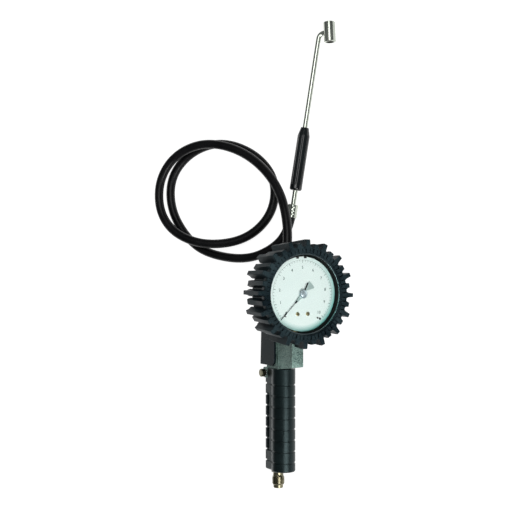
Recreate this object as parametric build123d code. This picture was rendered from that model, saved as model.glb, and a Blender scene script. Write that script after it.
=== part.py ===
from build123d import *
from math import acos, atan2, cos, degrees, hypot, pi, radians, sin, tan
import os

# A hand-held tyre inflator with a dial gauge: a moulded grip on the air inlet, a cast valve body with
# a squeeze lever, a gauge in a knobbly rubber boot, and a hose to a lance with a twin chuck.
# Every rigid piece is drawn standing up: X to the gauge's right, Y up the handle from the inlet's
# end, Z out of the dial. The whole tool is then laid down as it rests on a table.
# All sizes are millimetres.

# Fits
RUNNING = 0.06
SEATED = 0.05

# Inlet and grip
NIPPLE_THREAD_RADIUS = 6.58
NIPPLE_THREAD = (3.6, 12.4)
NIPPLE_NECK_RADIUS = 5.4
NIPPLE_BORE_RADIUS = 2.8
COLLAR_RADIUS = 7.2
GRIP_BOTTOM = 18.6
GRIP_TOP = 124.2
GRIP_FRONT_RADIUS = 12.3
GRIP_FRONT_CENTRE = 11.0
KEEL_HALF_WIDTH = 8.3
KEEL_BACK = -13.4
KEEL_ROUNDING = 1.8
GRIP_CHAMFER = 1.0
GROOVE_FIRST = 28.1
GROOVE_PITCH = 11.38
GROOVE_COUNT = 8
GROOVE_DEPTH = 0.9
GROOVE_WIDTH = 1.8
POCKET = (38.0, 98.0)
TUBE_RADIUS = 6.0
TUBE_BORE_RADIUS = 4.0

# Cast valve body
BAR_HALF_WIDTH = 7.2
BAR_BACK = -12.5
BAR_FRONT = 14.0
SIDE_GROOVE = (129.2, 189.0)
BODY_TOP = 188.0
ARM_HALF_WIDTH = 6.6
ARM_FRONT = 40.1
OUTLET_OUT = 16.0
OUTLET_BOSS_RADIUS = 8.0
OUTLET_THREAD_RADIUS = 5.0

# Squeeze valve
VALVE_UP = 152.0
TUBE_TOP = VALVE_UP - 18.0
CHAMBER_RADIUS = 5.2
PUSH_ROD_RADIUS = 1.9
PUSH_ROD_BACK = -20.45
SEAT = (5.0, 7.0)
SEAT_HOLE_RADIUS = 3.0
POPPET = (7.1, 8.9)
POPPET_RADIUS = 3.9
SPRING_SEAT = 14.0

# Lever
PIVOT = (182.0, -8.0)
PIN_RADIUS = 1.5
LEVER_HALF_WIDTH = 9.4
LEVER_SHEET = 1.7
LEVER_TOP_BACK = -21.0
LEVER_END = 127.0
LEVER_END_BACK = -23.6

# Bleed valve
BLEED_UP = 118.4
BLEED_OUT = -12.9
TAIL_HALF_WIDTH = 8.0
TAIL_BACK = -17.8
TAIL_BOTTOM = 113.2
TAIL_FRONT = -8.3
BUTTON_RADIUS = 4.2
BUTTON_HEAD = (-14.0, -10.0)
BLEED_STEM_RADIUS = 2.0
BLEED_WAY = (5.5, 141.0)

# Gauge
HUB_UP = 202.0
STEM_OUT = 33.8
STEM_RADIUS = 4.86
CASE_RADIUS = 41.0
CASE_WALL = 0.8
CASE_BACK = 28.0
CASE_FRONT = 52.6
DIAL_RADIUS = CASE_RADIUS - 3.5
DIAL_FACE = 50.0
DIAL_SHEET = 0.8
WINDOW_RADIUS = CASE_RADIUS - 0.2
WINDOW = (CASE_FRONT + 0.6, CASE_FRONT + 2.4)
BEZEL_WALL = 0.95
BEZEL_LIP = 1.5
BEZEL_RADIUS = CASE_RADIUS + SEATED + BEZEL_WALL
BEZEL_FRONT = WINDOW[1] + 0.8
BEZEL_OPENING = CASE_RADIUS - BEZEL_LIP
DIAL_SCREW_ACROSS = 5.8
DIAL_SCREW_DROP = 20.0

# Gauge movement
PINION_TEETH = 12
SECTOR_RATIO = 9
TOOTH_MODULE = 0.4
SECTOR_DROP = TOOTH_MODULE * PINION_TEETH * (1 + SECTOR_RATIO) / 2
SECTOR_LAYER = (42.0, 43.2)
ARBOR_RADIUS = 0.9
COIL_TUBE_RADIUS = CASE_RADIUS - 12.0
COIL_TUBE_OUT = 36.0
TUBE_TIP_ANGLE = -20
TAIL_ANGLE = 12
TAIL_LENGTH = 10.0
POINTER_ZERO = 225.0
POINTER_LENGTH = 36.0

# Rubber boot
BOOT_WALL = 3.5
TALL_LUG_HEIGHT = 9.1
SHORT_LUG_HEIGHT = 5.4
VALLEY_RADIUS = BEZEL_RADIUS + BOOT_WALL
TALL_LUG_RADIUS = VALLEY_RADIUS + TALL_LUG_HEIGHT
SHORT_LUG_RADIUS = VALLEY_RADIUS + SHORT_LUG_HEIGHT
LUG_DROP = 2.8
LUG_PAIRS = 16
LUG_WIDTH = 3.6
LUG_ROOT_WIDTH = 7.6
SHOULDER_RADIUS = BEZEL_OPENING + 1.4
FIRST_LUG = -1.8
BOOT_BACK = CASE_BACK - 1.8
BOOT_FACE = BEZEL_FRONT + 1.6
LUG_BACK = 21.4
LUG_FRONT = BOOT_FACE + 1.6

# The arm of the valve body ends below the boot
ARM_TOP = HUB_UP - VALLEY_RADIUS - 1.0
STEM_BOTTOM = ARM_TOP - 13.5
GAUGE_WAY_UP = STEM_BOTTOM - 3.5

# How it lies: the pitch lifts the lever clear of the table, and the roll follows from the two
# places that carry it, a tall lug of the boot and the back corner of the grip's end
PITCH = 4.0
REST_RADIUS = TALL_LUG_RADIUS - LUG_DROP
REST_LUG = (
    REST_RADIUS * cos(radians(FIRST_LUG)) + LUG_WIDTH / 2 * sin(radians(FIRST_LUG)),
    HUB_UP + REST_RADIUS * sin(radians(FIRST_LUG)) - LUG_WIDTH / 2 * cos(radians(FIRST_LUG)),
    LUG_BACK,
)
REST_CORNER = (
    KEEL_HALF_WIDTH - 0.2 * KEEL_ROUNDING,
    GRIP_BOTTOM + GRIP_CHAMFER,
    KEEL_BACK + 0.4 * KEEL_ROUNDING,
)
reach_across = REST_LUG[0] - REST_CORNER[0]
reach_up = REST_LUG[1] - REST_CORNER[1]
reach_out = REST_LUG[2] - REST_CORNER[2]
ROLL = degrees(
    acos(-reach_up * tan(radians(PITCH)) / hypot(reach_across, reach_out))
    - atan2(reach_across, reach_out)
)
TABLE_DROP = (
    (REST_LUG[0] * sin(radians(ROLL)) - REST_LUG[2] * cos(radians(ROLL))) * cos(radians(PITCH))
    - REST_LUG[1] * sin(radians(PITCH))
    + 0.02
)

# Hose and lance, placed where they lie on the table
HOSE_RADIUS = 4.75
HOSE_BORE_RADIUS = 2.4
HOSE_START = 199.0
FLOOR_HEIGHT = HOSE_RADIUS + 0.05
LANCE_START = Vector(4.4, 281.5, 6.55)
LANCE_HEADING = 7.74
LANCE_TUBE_RADIUS = 2.6
FERRULE_LENGTH = 14.0
FERRULE_RADIUS = 5.5
LANCE_CORNER = 197.0
LANCE_BEND_RADIUS = 7.0
SLEEVE = (29.0, 96.0)
SLEEVE_RADIUS = 6.5
CHUCK_CENTRE = Vector(42.4, 477.5, 6.55)
CHUCK_LEAN = 4.0
CHUCK_RADIUS = 6.2
CHUCK_HALF_LENGTH = 10.8
CHUCK_PORT_RADIUS = 4.1
CHUCK_SEAT_RADIUS = 3.7
CHUCK_WEB = 2.6
CHUCK_PORT_DEPTH = 5.0
CHUCK_PIN_RADIUS = 0.9

HOSE_ROUTE = [
    (10, 270, 36),
    (-7, 314, 26),
    (-44, 350, 19),
    (-92, 365, 18.5),
    (-134, 354, 18.5),
    (-157, 325, 17),
    (-156, 289, 17),
    (-132, 262, 18.5),
    (-90, 251, 16),
    (-49, 259, 8),
    (-21, 286, FLOOR_HEIGHT),
    (-17, 322, FLOOR_HEIGHT),
    (-40, 352, FLOOR_HEIGHT),
    (-82, 368, FLOOR_HEIGHT),
    (-122, 357, FLOOR_HEIGHT),
    (-146, 329, FLOOR_HEIGHT),
    (-145, 293, FLOOR_HEIGHT),
    (-124, 262, FLOOR_HEIGHT),
    (-94, 246, FLOOR_HEIGHT),
    (-46, 240, FLOOR_HEIGHT),
    (-12, 252.5, 5.4),
]
HOSE_RUN_BEFORE_FERRULE = 10.0
HOSE_IN_FERRULE = 12.0


def rod(radius, start, end):
    """A solid round bar between two points."""
    start = Vector(start)
    end = Vector(end)
    return Solid.make_cylinder(radius, (end - start).length, Plane(start, z_dir=end - start))


def pipe(outer, inner, start, end):
    """A round bar with a hole through it."""
    return rod(outer, start, end) - rod(inner, start, end)


def block(across, up, out):
    """A square bar given by its two limits along each axis."""
    spans = (across, up, out)
    middle = [(low + high) / 2 for low, high in spans]
    sides = [high - low for low, high in spans]
    return Pos(*middle) * Box(*sides)


def level(up):
    """A cross-section plane of the handle, seen from below, with Z as its second axis."""
    return Plane((0, up, 0), x_dir=(1, 0, 0), z_dir=(0, -1, 0))


def side(across):
    """A plane beside the handle whose axes are Y and Z."""
    return Plane((across, 0, 0), x_dir=(0, 1, 0), z_dir=(1, 0, 0))


def face_on(out):
    """A plane through the gauge's centre line, parallel to the dial."""
    return Plane((0, HUB_UP, out), x_dir=(1, 0, 0), z_dir=(0, 0, 1))


def turned(points):
    """A solid turned about the gauge's centre line from radius and height pairs."""
    outline = [(radius, out) for radius, out in points]
    plane = Plane((0, HUB_UP, 0), x_dir=(1, 0, 0), z_dir=(0, -1, 0))
    return revolve(plane * make_face(Polyline(*outline, close=True)), Axis((0, HUB_UP, 0), (0, 0, 1)))


def coil(radius, wire, turns, start, end):
    """An open round-wire spring between two points."""
    start = Vector(start)
    end = Vector(end)
    height = (end - start).length - 2 * wire
    path = Helix(height / turns, height, radius)
    section = Plane(path @ 0, z_dir=path % 0) * Circle(wire)
    spring = sweep(section, path=path, is_frenet=True)
    return Plane(start, z_dir=end - start) * Pos(0, 0, wire) * spring


# The grip and the air inlet
def grip_outline(inset=0.0):
    front = Pos(0, GRIP_FRONT_CENTRE) * Circle(GRIP_FRONT_RADIUS - inset)
    depth = GRIP_FRONT_CENTRE - KEEL_BACK - inset
    keel = Pos(0, GRIP_FRONT_CENTRE - depth / 2) * Rectangle(2 * (KEEL_HALF_WIDTH - inset), depth)
    keel = fillet(keel.vertices().sort_by(Axis.Y)[:2], KEEL_ROUNDING)
    return front + keel


def grip():
    body = extrude(level(GRIP_TOP) * grip_outline(), amount=GRIP_TOP - GRIP_BOTTOM)
    body = chamfer(body.faces().sort_by(Axis.Y)[0].edges(), GRIP_CHAMFER)
    ring = grip_outline(-1.0) - grip_outline(GROOVE_DEPTH)
    for index in range(GROOVE_COUNT):
        middle = GROOVE_FIRST + index * GROOVE_PITCH
        body -= extrude(level(middle + GROOVE_WIDTH / 2) * ring, amount=GROOVE_WIDTH)
    for sign in (-1, 1):
        edges = sorted((sign * (KEEL_HALF_WIDTH - 1.3), sign * (KEEL_HALF_WIDTH + 1)))
        body -= block(edges, POCKET, (-9.0, -1.6))
    body -= rod(TUBE_RADIUS + SEATED, (0, GRIP_BOTTOM - 1, 0), (0, GRIP_TOP + 1, 0))
    body -= block((-20, 20), (TAIL_BOTTOM - 0.2, GRIP_TOP + 1), (-20, TAIL_FRONT + 0.2))
    return body


def inlet_nipple():
    thread_low, thread_high = NIPPLE_THREAD
    body = rod(NIPPLE_NECK_RADIUS - 0.3, (0, 0, 0), (0, thread_low, 0))
    body = chamfer(body.faces().sort_by(Axis.Y)[0].edges(), 0.6)
    body += rod(NIPPLE_THREAD_RADIUS, (0, thread_low, 0), (0, thread_high, 0))
    body += rod(NIPPLE_NECK_RADIUS, (0, thread_high, 0), (0, 16.6, 0))
    body += rod(COLLAR_RADIUS, (0, 16.6, 0), (0, GRIP_BOTTOM, 0))
    body += rod(TUBE_BORE_RADIUS - SEATED, (0, GRIP_BOTTOM, 0), (0, 31, 0))
    body -= rod(NIPPLE_BORE_RADIUS, (0, -1, 0), (0, 32, 0))
    return body


def inlet_filter():
    radius = NIPPLE_BORE_RADIUS - 0.02
    mesh = rod(radius, (0, 1.0, 0), (0, 2.2, 0))
    for across in (-1.2, 0, 1.2):
        for out in (-1.2, 0, 1.2):
            mesh -= rod(0.35, (across, 0, out), (across, 3, out))
    return mesh


def inlet_tube():
    return pipe(TUBE_RADIUS, TUBE_BORE_RADIUS, (0, GRIP_BOTTOM + 0.02, 0), (0, TUBE_TOP, 0))


def inlet_washer():
    return pipe(TUBE_RADIUS - 0.1, TUBE_BORE_RADIUS + 0.2, (0, TUBE_TOP, 0), (0, TUBE_TOP + 0.7, 0))


# The cast valve body, with its arm to the gauge, its outlet boss and the tail of the bleed valve
def valve_body():
    bar = block((-BAR_HALF_WIDTH, BAR_HALF_WIDTH), (GRIP_TOP, BODY_TOP), (BAR_BACK, BAR_FRONT))
    bar = fillet(bar.edges().filter_by(Axis.Y), 1.2)
    arm_side = Polyline(
        (GRIP_TOP + 0.1, BAR_FRONT - 2),
        (GRIP_TOP + 0.1, BAR_FRONT + 2),
        (GRIP_TOP + 3.3, ARM_FRONT - 1),
        (GRIP_TOP + 4.3, ARM_FRONT),
        (ARM_TOP, ARM_FRONT),
        (ARM_TOP, BAR_FRONT - 2),
        close=True,
    )
    arm = extrude(side(-ARM_HALF_WIDTH) * make_face(arm_side), amount=2 * ARM_HALF_WIDTH)
    boss = rod(OUTLET_BOSS_RADIUS, (0, VALVE_UP + 8, OUTLET_OUT), (0, BODY_TOP, OUTLET_OUT))
    tail = block((-TAIL_HALF_WIDTH, TAIL_HALF_WIDTH), (TAIL_BOTTOM, GRIP_TOP), (TAIL_BACK, TAIL_FRONT))
    tail_back = tail.faces().sort_by(Axis.Z)[0].edges().filter_by(Axis.X)
    tail = fillet(tail_back.sort_by(Axis.Y)[0], 3.6)
    tail = fillet(tail.edges().filter_by(Axis.X).group_by(Axis.Z)[0].sort_by(Axis.Y)[-1], 2.0)
    body = bar + arm + boss + tail

    body -= rod(TUBE_RADIUS + SEATED, (0, GRIP_TOP - 1, 0), (0, TUBE_TOP + 0.7, 0))
    body -= rod(TUBE_BORE_RADIUS, (0, TUBE_TOP, 0), (0, VALVE_UP, 0))
    body -= rod(CHAMBER_RADIUS, (0, VALVE_UP, BAR_BACK - 1), (0, VALVE_UP, SEAT[1]))
    body -= rod(4.3, (0, VALVE_UP, SEAT[1]), (0, VALVE_UP, SPRING_SEAT))
    body -= rod(2.0, (0, VALVE_UP, SPRING_SEAT), (0, VALVE_UP, OUTLET_OUT))
    body -= rod(3.0, (0, VALVE_UP + 8, OUTLET_OUT), (0, BODY_TOP, OUTLET_OUT))
    body -= rod(1.5, (0, GAUGE_WAY_UP, OUTLET_OUT), (0, VALVE_UP + 8, OUTLET_OUT))
    body -= rod(OUTLET_THREAD_RADIUS + SEATED, (0, BODY_TOP - 10, OUTLET_OUT), (0, BODY_TOP + 1, OUTLET_OUT))
    body -= rod(1.5, (0, GAUGE_WAY_UP, OUTLET_OUT), (0, GAUGE_WAY_UP, STEM_OUT))
    body -= rod(1.5, (0, GAUGE_WAY_UP, STEM_OUT), (0, STEM_BOTTOM, STEM_OUT))
    body -= rod(STEM_RADIUS + SEATED, (0, STEM_BOTTOM - 1, STEM_OUT), (0, ARM_TOP + 1, STEM_OUT))
    body -= rod(PIN_RADIUS, (-20, *PIVOT), (20, *PIVOT))
    body -= rod(BLEED_STEM_RADIUS + RUNNING, (-9, BLEED_UP, BLEED_OUT), (6.0, BLEED_UP, BLEED_OUT))
    body -= rod(3.6, (-9, BLEED_UP, BLEED_OUT), (-3.0, BLEED_UP, BLEED_OUT))
    across, up = BLEED_WAY
    body -= rod(0.8, (across, BLEED_UP, BLEED_OUT), (across, up, BLEED_OUT + 1.6))
    body -= rod(0.8, (across, up, BLEED_OUT + 1.6), (across, up, OUTLET_OUT))
    body -= rod(0.8, (across, up, OUTLET_OUT), (0, up, OUTLET_OUT))
    for sign in (-1, 1):
        edges = sorted((sign * (BAR_HALF_WIDTH - 1.7), sign * (BAR_HALF_WIDTH + 1)))
        body -= block(edges, SIDE_GROOVE, (8.9, 12.7))
    return body


# The squeeze valve: guide nut, seal, push rod with its poppet, seat and return spring
def valve_nut():
    flange = pipe(6.4, PUSH_ROD_RADIUS + RUNNING, (0, VALVE_UP, BAR_BACK - 1.6), (0, VALVE_UP, BAR_BACK))
    plug = pipe(
        CHAMBER_RADIUS - SEATED,
        PUSH_ROD_RADIUS + RUNNING,
        (0, VALVE_UP, BAR_BACK),
        (0, VALVE_UP, -8),
    )
    slot = block((-7, 7), (VALVE_UP - 0.6, VALVE_UP + 0.6), (BAR_BACK - 2, BAR_BACK - 0.9))
    return flange + plug - slot


def ring(radius, wire, centre, direction):
    return Plane(Vector(centre), z_dir=Vector(direction)) * Torus(radius, wire)


def rod_seal():
    wire = 0.9
    radius = PUSH_ROD_RADIUS + RUNNING + wire
    return ring(radius, wire, (0, VALVE_UP, -8 + wire + 0.02), (0, 0, 1))


def push_rod():
    shaft = rod(PUSH_ROD_RADIUS, (0, VALVE_UP, PUSH_ROD_BACK + 1.2), (0, VALVE_UP, POPPET[0]))
    head = rod(3.2, (0, VALVE_UP, PUSH_ROD_BACK), (0, VALVE_UP, PUSH_ROD_BACK + 1.6))
    head = fillet(head.edges().sort_by(Axis.Z)[0], 1.2)
    poppet = rod(POPPET_RADIUS, (0, VALVE_UP, POPPET[0]), (0, VALVE_UP, POPPET[1]))
    return shaft + head + poppet


def valve_seat():
    low, high = SEAT
    outer = CHAMBER_RADIUS - SEATED
    return pipe(outer, SEAT_HOLE_RADIUS, (0, VALVE_UP, low), (0, VALVE_UP, high - 0.02))


def valve_spring():
    return coil(3.3, 0.28, 3, (0, VALVE_UP, POPPET[1] + 0.02), (0, VALVE_UP, SPRING_SEAT))


# The pressed steel lever over the back of the body, on its pin
def lever():
    top = BODY_TOP + 2.0
    front_low = 8.5
    outline = Polyline(
        (LEVER_END, LEVER_END_BACK),
        (top - 6, LEVER_TOP_BACK),
        (top, LEVER_TOP_BACK + 5),
        (top, -2.0),
        (top - 8, 2.5),
        (top - 24, front_low),
        (LEVER_END + 4, front_low),
        (LEVER_END, front_low - 4),
        close=True,
    )
    shell = extrude(side(-LEVER_HALF_WIDTH) * make_face(outline), amount=2 * LEVER_HALF_WIDTH)
    back_edges = shell.edges().filter_by(lambda edge: abs(edge.tangent_at(0).X) < 0.01)
    back_edges = back_edges.filter_by(lambda edge: edge.center().Z < LEVER_TOP_BACK + 1)
    shell = fillet(back_edges, 2.6)
    inside = LEVER_HALF_WIDTH - LEVER_SHEET
    hollow = Polyline(
        (LEVER_END - 1, LEVER_END_BACK + LEVER_SHEET),
        (top - 6, LEVER_TOP_BACK + LEVER_SHEET),
        (top - 1.5, LEVER_TOP_BACK + 6),
        (top - 1.5, 20),
        (LEVER_END - 1, 20),
        close=True,
    )
    shell -= extrude(side(-inside) * make_face(hollow), amount=2 * inside)
    shell -= rod(PIN_RADIUS + RUNNING, (-20, *PIVOT), (20, *PIVOT))
    return shell


def lever_pin():
    half = LEVER_HALF_WIDTH + 0.6
    pin = rod(PIN_RADIUS - 0.01, (-half, *PIVOT), (half, *PIVOT))
    clips = [
        rod(2.6, (sign * (LEVER_HALF_WIDTH + 0.08), *PIVOT), (sign * half, *PIVOT)) for sign in (-1, 1)
    ]
    return pin + clips


# The bleed valve across the tail of the body
def bleed_button():
    centre = (BLEED_UP, BLEED_OUT)
    head = rod(BUTTON_RADIUS, (BUTTON_HEAD[0], *centre), (BUTTON_HEAD[1], *centre))
    head = fillet(head.edges().sort_by(Axis.X)[0], 0.9)
    stem = rod(BLEED_STEM_RADIUS, (BUTTON_HEAD[1], *centre), (2.4, *centre))
    return head + stem


def bleed_spring():
    start = (BUTTON_HEAD[1] + 0.02, BLEED_UP, BLEED_OUT)
    return coil(2.95, 0.25, 4, start, (-3.95, BLEED_UP, BLEED_OUT))


def bleed_seal():
    return ring(2.9, 0.45, (-3.47, BLEED_UP, BLEED_OUT), (1, 0, 0))


# The gauge: case, socket, movement, dial, pointer, window and bezel
def gauge_case():
    inner = CASE_RADIUS - CASE_WALL
    cup = turned([
        (0, CASE_BACK),
        (CASE_RADIUS, CASE_BACK),
        (CASE_RADIUS, CASE_FRONT),
        (inner, CASE_FRONT),
        (inner, CASE_BACK + CASE_WALL),
        (0, CASE_BACK + CASE_WALL),
    ])
    return cup - rod(STEM_RADIUS + 0.1, (0, ARM_TOP, STEM_OUT), (0, HUB_UP - inner + 2, STEM_OUT))


def gauge_socket():
    bottom = HUB_UP - CASE_RADIUS + 3.5
    body = rod(STEM_RADIUS, (0, STEM_BOTTOM, STEM_OUT), (0, bottom + 1, STEM_OUT))
    body += block((-5.5, 5.5), (ARM_TOP + 0.6, HUB_UP - CASE_RADIUS - 0.6), (STEM_OUT - 5, STEM_OUT + 5))
    body += block((-8, 8), (bottom, bottom + 12), (CASE_BACK + CASE_WALL + 0.1, 38.0))
    body -= coil_tube()
    body -= rod(1.5, (0, STEM_BOTTOM - 1, STEM_OUT), (0, bottom + 8, STEM_OUT))
    return body


def stem_washer():
    return pipe(5.6, STEM_RADIUS + SEATED, (0, ARM_TOP, STEM_OUT), (0, ARM_TOP + 0.6, STEM_OUT))


def tip_point():
    angle = radians(TUBE_TIP_ANGLE)
    return COIL_TUBE_RADIUS * cos(angle), HUB_UP + COIL_TUBE_RADIUS * sin(angle)


def coil_tube():
    arc = CenterArc((0, 0), COIL_TUBE_RADIUS, TUBE_TIP_ANGLE, 274)
    path = face_on(COIL_TUBE_OUT) * arc
    section = Plane(path @ 0, x_dir=(0, 0, 1), z_dir=path % 0)
    outline = section * RectangleRounded(4.0, 2.2, 1.0)
    bore = section * RectangleRounded(3.2, 1.4, 0.6)
    pipe_wall = sweep(outline - bore, path=path)
    across, up = tip_point()
    cap = rod(1.9, (across, up, COIL_TUBE_OUT - 2.6), (across, up, 40.4))
    return pipe_wall - cap + cap


def movement_plates():
    low = HUB_UP - CASE_RADIUS + 4.6
    outline = Pos(0, (low + HUB_UP + 5) / 2) * RectangleRounded(15, HUB_UP + 5 - low, 3)
    plane = Plane((0, 0, 38.0), x_dir=(1, 0, 0), z_dir=(0, 0, 1))
    back = extrude(plane * outline, amount=1.2)
    front = Pos(0, 0, 7.4) * back
    plates = back + front
    for across in (-5.8, 5.8):
        for up in (low + 3.4, HUB_UP + 3.2):
            plates += rod(1.2, (across, up, 39.2), (across, up, 45.4))
    for up in (HUB_UP, HUB_UP - SECTOR_DROP):
        plates -= rod(ARBOR_RADIUS + RUNNING, (0, up, 37), (0, up, 47))
    for across in (-DIAL_SCREW_ACROSS, DIAL_SCREW_ACROSS):
        up = HUB_UP - DIAL_SCREW_DROP
        plates += rod(1.7, (across, up, 46.6), (across, up, DIAL_FACE - DIAL_SHEET))
        plates -= rod(0.8, (across, up, 45.4), (across, up, 50))
    return plates


def tooth(pitch_radius, angle):
    """One straight-sided tooth on a round blank, as a flat outline."""
    half_root = 0.36
    half_tip = 0.13
    low = pitch_radius - 0.55
    high = pitch_radius + 0.28
    corners = [(low, -half_root), (high, -half_tip), (high, half_tip), (low, half_root)]
    return Rot(0, 0, angle) * make_face(Polyline(*corners, close=True))


def pinion_arbor():
    pitch_radius = TOOTH_MODULE * PINION_TEETH / 2
    outline = Circle(pitch_radius - 0.45)
    for index in range(PINION_TEETH):
        angle = -90 + (index + 0.5) * 360 / PINION_TEETH
        outline += tooth(pitch_radius, angle)
    gear = extrude(face_on(SECTOR_LAYER[0] - 0.3) * outline, amount=1.8)
    shaft = rod(ARBOR_RADIUS, (0, HUB_UP, 38.0), (0, HUB_UP, 51.6))
    return gear + shaft


def sector_gear():
    pitch_radius = TOOTH_MODULE * PINION_TEETH * SECTOR_RATIO / 2
    pivot_up = HUB_UP - SECTOR_DROP
    blank = pitch_radius - 0.45
    step = 360 / (PINION_TEETH * SECTOR_RATIO)
    first, last = 56, 94
    rim = [(blank * cos(radians(a)), blank * sin(radians(a))) for a in (first, 75, last)]
    wedge = make_face([
        Line((0, 0), rim[0]),
        ThreePointArc(*rim),
        Line(rim[2], (0, 0)),
    ])
    outline = wedge - Rot(0, 0, 75) * Pos(13.2, 0) * RectangleRounded(7.5, 4.6, 1.4)
    outline += Circle(2.4)
    for index in range(-9, 1):
        outline += tooth(pitch_radius, 90 + index * step)
    tail = (tail_point()[0], tail_point()[1] - pivot_up)
    outline += Rot(0, 0, TAIL_ANGLE) * Pos(TAIL_LENGTH / 2, 0) * Rectangle(TAIL_LENGTH, 3.0)
    outline += Pos(*tail) * Circle(1.9)
    plane = Plane((0, pivot_up, SECTOR_LAYER[0]), x_dir=(1, 0, 0), z_dir=(0, 0, 1))
    plate = extrude(plane * outline, amount=SECTOR_LAYER[1] - SECTOR_LAYER[0])
    plate += rod(ARBOR_RADIUS, (0, pivot_up, 38.0), (0, pivot_up, 46.5))
    plate += rod(0.7, (tail[0], pivot_up + tail[1], 40.6), (tail[0], pivot_up + tail[1], 42.2))
    return plate


def tail_point():
    angle = radians(TAIL_ANGLE)
    return TAIL_LENGTH * cos(angle), HUB_UP - SECTOR_DROP + TAIL_LENGTH * sin(angle)


def tip_link():
    tail = tail_point()
    tip = tip_point()
    length = hypot(tip[0] - tail[0], tip[1] - tail[1])
    heading = degrees(atan2(tip[1] - tail[1], tip[0] - tail[0]))
    bar = SlotCenterToCenter(length, 3.0)
    plane = Plane((tail[0], tail[1], 41.0), x_dir=(1, 0, 0), z_dir=(0, 0, 1))
    strip = Rot(0, 0, heading) * Pos(length / 2, 0) * bar
    strip -= Circle(0.7 + RUNNING)
    strip -= Rot(0, 0, heading) * Pos(length, 0) * Circle(1.1)
    return extrude(plane * strip, amount=0.7)


def hair_spring():
    turns = 3
    points = []
    for index in range(turns * 8 + 1):
        angle = radians(index * 45)
        radius = 3.2 + 0.55 * index / 8
        points.append((radius * cos(angle), radius * sin(angle)))
    path = face_on(40.2) * Spline(*points)
    section = Plane(path @ 0, x_dir=(0, 0, 1), z_dir=path % 0) * Rectangle(0.7, 0.22)
    return sweep(section, path=path)


def dial():
    plate = extrude(face_on(DIAL_FACE) * Circle(DIAL_RADIUS), amount=-DIAL_SHEET)
    plate -= rod(1.6, (0, HUB_UP, 45), (0, HUB_UP, 55))
    for across in (-DIAL_SCREW_ACROSS, DIAL_SCREW_ACROSS):
        up = HUB_UP - DIAL_SCREW_DROP
        plate -= rod(0.95, (across, up, 45), (across, up, 55))
    return plate - zero_stop(0.5 + SEATED / 2)


def dial_screws():
    screws = []
    for across in (-DIAL_SCREW_ACROSS, DIAL_SCREW_ACROSS):
        up = HUB_UP - DIAL_SCREW_DROP
        head = rod(2.0, (across, up, DIAL_FACE), (across, up, DIAL_FACE + 1.1))
        head = fillet(head.edges().sort_by(Axis.Z)[-1], 0.4)
        head -= block((across - 3, across + 3), (up - 0.3, up + 0.3), (DIAL_FACE + 0.6, DIAL_FACE + 2))
        screws.append(head + rod(0.78, (across, up, 46.0), (across, up, DIAL_FACE + 0.2)))
    return Compound(children=screws)


def zero_stop(radius=0.5):
    angle = radians(POINTER_ZERO + 2.2)
    across = 30 * cos(angle)
    up = HUB_UP + 30 * sin(angle)
    return rod(radius, (across, up, DIAL_FACE - DIAL_SHEET), (across, up, DIAL_FACE + 2.2))


def pointer():
    """The needle with its tail bar and fan-shaped balance weight, drawn at zero."""
    blade = Polyline(
        (3.0, -1.2), (12.0, -0.8), (13.0, -0.35), (POINTER_LENGTH, -0.2),
        (POINTER_LENGTH, 0.2), (13.0, 0.35), (12.0, 0.8), (3.0, 1.2),
        close=True,
    )
    outline = make_face(blade)
    outline += Circle(4.0)
    outline += Pos(-8.5, 0) * Rectangle(10.0, 1.0)
    fan = make_face([
        Line((-4.0, 0.0), (-15.6, 0.2)),
        ThreePointArc((-15.6, 0.2), (-15.0, 4.2), (-13.2, 8.2)),
        Line((-13.2, 8.2), (-4.0, 0.0)),
    ])
    outline += fan
    flat = extrude(face_on(50.9) * Rot(0, 0, POINTER_ZERO) * outline, amount=0.5)
    boss = rod(4.35, (0, HUB_UP, 51.4), (0, HUB_UP, 52.8))
    boss = fillet(boss.edges().sort_by(Axis.Z)[-1], 0.9)
    return flat + boss - rod(ARBOR_RADIUS + 0.005, (0, HUB_UP, 50), (0, HUB_UP, 51.61))


def window_gasket():
    return pipe(WINDOW_RADIUS, BEZEL_OPENING + 0.4, (0, HUB_UP, CASE_FRONT), (0, HUB_UP, WINDOW[0]))


def gauge_window():
    return rod(WINDOW_RADIUS, (0, HUB_UP, WINDOW[0]), (0, HUB_UP, WINDOW[1]))


def bezel_ring():
    inner = CASE_RADIUS + SEATED
    return turned([
        (inner, 49.6),
        (BEZEL_RADIUS, 49.6),
        (BEZEL_RADIUS, BEZEL_FRONT - 0.8),
        (BEZEL_RADIUS - 0.8, BEZEL_FRONT),
        (BEZEL_OPENING, BEZEL_FRONT),
        (BEZEL_OPENING, WINDOW[1]),
        (inner, WINDOW[1]),
    ])


# The rubber boot: a cup round the gauge with alternate tall and short lugs, like a tractor tyre
def boot_cup():
    back_inner = CASE_RADIUS + SEATED
    front_inner = BEZEL_RADIUS + SEATED
    back_opening = CASE_RADIUS - 6.0
    return turned([
        (back_opening, BOOT_BACK),
        (VALLEY_RADIUS - 2.0, BOOT_BACK),
        (VALLEY_RADIUS, BOOT_BACK + 2.0),
        (VALLEY_RADIUS, BOOT_FACE - 3.0),
        (VALLEY_RADIUS - 1.5, BOOT_FACE - 0.8),
        (VALLEY_RADIUS - 3.0, BOOT_FACE),
        (BEZEL_OPENING + 1.2, BOOT_FACE),
        (BEZEL_OPENING + 0.6, BEZEL_FRONT + 0.05),
        (front_inner, BEZEL_FRONT + 0.05),
        (front_inner, 49.5),
        (back_inner, 49.5),
        (back_inner, CASE_BACK - 0.05),
        (back_opening, CASE_BACK - 0.05),
    ])


def tread_plane():
    """The plane through the gauge's centre line whose axes are radius and height."""
    return Plane((0, 0, 0), x_dir=(1, 0, 0), z_dir=(0, -1, 0))


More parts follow.
